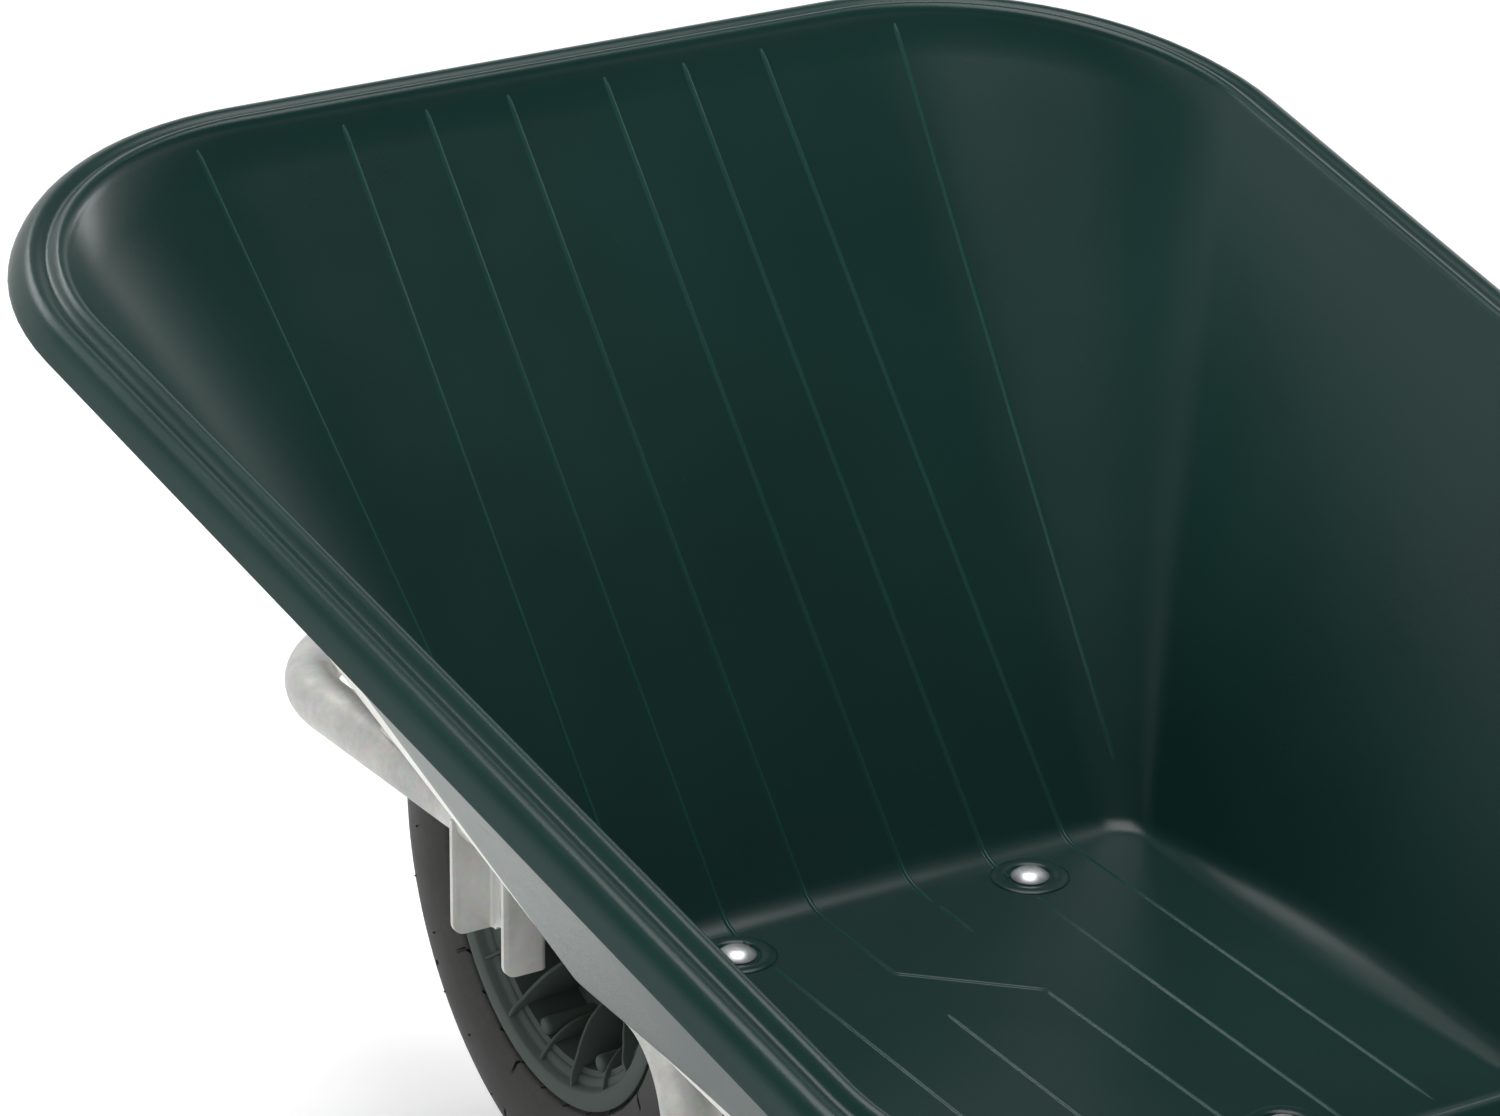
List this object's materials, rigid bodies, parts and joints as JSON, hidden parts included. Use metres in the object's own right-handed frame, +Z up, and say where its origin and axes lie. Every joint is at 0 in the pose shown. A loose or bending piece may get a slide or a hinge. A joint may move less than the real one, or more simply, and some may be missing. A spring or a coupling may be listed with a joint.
{
  "type": "wheelbarrow",
  "caption": "Garden wheelbarrow with a deep moulded tray, bent-tube galvanised frame, skid legs, plastic grips and a pneumatic wheel on a through axle.",
  "frame": {"origin": "on the ground, under the centre of the barrow's bounding box", "axes": "+Y forwards from the handles to the nose, +X to the right of the person who pushes it, +Z up"},
  "size_m": [0.7498, 1.5818, 0.6678],
  "materials": {
    "tray": "satin moulded polypropylene, dark green",
    "wheel_plastic": "satin moulded plastic, dark grey green",
    "galvanised": "hot-dip galvanised, mottled matte",
    "zinc_plate": "bright zinc plate",
    "tyre": "matte black rubber",
    "tube_rubber": "soft black rubber",
    "black_plastic": "textured black plastic"
  },
  "bodies": {
    "barrow_frame": {"tray": "tray", "main_tube_left": "galvanised", "main_tube_right": "galvanised", "front_hoop": "galvanised", "skid_leg_left": "galvanised", "skid_leg_right": "galvanised", "leg_cross_bar": "galvanised", "front_tray_strap": "galvanised", "rear_tray_strap": "galvanised", "axle_bracket_left": "galvanised", "axle_bracket_right": "galvanised", "axle": "zinc_plate", "axle_cap_left": "zinc_plate", "axle_spacer_left": "zinc_plate", "handle_grip_left": "black_plastic", "nose_plug_left": "black_plastic", "tray_bolt_front_left": "zinc_plate", "tray_washer_front_left": "zinc_plate", "tray_nut_front_left": "zinc_plate", "tray_bolt_rear_left": "zinc_plate", "tray_washer_rear_left": "zinc_plate", "tray_nut_rear_left": "zinc_plate", "axle_cap_right": "zinc_plate", "axle_spacer_right": "zinc_plate", "handle_grip_right": "black_plastic", "nose_plug_right": "black_plastic", "tray_bolt_front_right": "zinc_plate", "tray_washer_front_right": "zinc_plate", "tray_nut_front_right": "zinc_plate", "tray_bolt_rear_right": "zinc_plate", "tray_washer_rear_right": "zinc_plate", "tray_nut_rear_right": "zinc_plate"},
    "wheel": {"wheel_centre": "wheel_plastic", "tyre": "tyre", "inner_tube": "tube_rubber", "valve_cap": "black_plastic", "hub_bush_left": "black_plastic", "hub_bush_right": "black_plastic"}
  },
  "joints": [
    {"name": "wheel_spin", "type": "hinge", "parent": "barrow_frame", "child": "wheel", "pos_m": [0, 0.4944, 0.2], "axis": [1, 0, 0], "continuous": true}
  ]
}
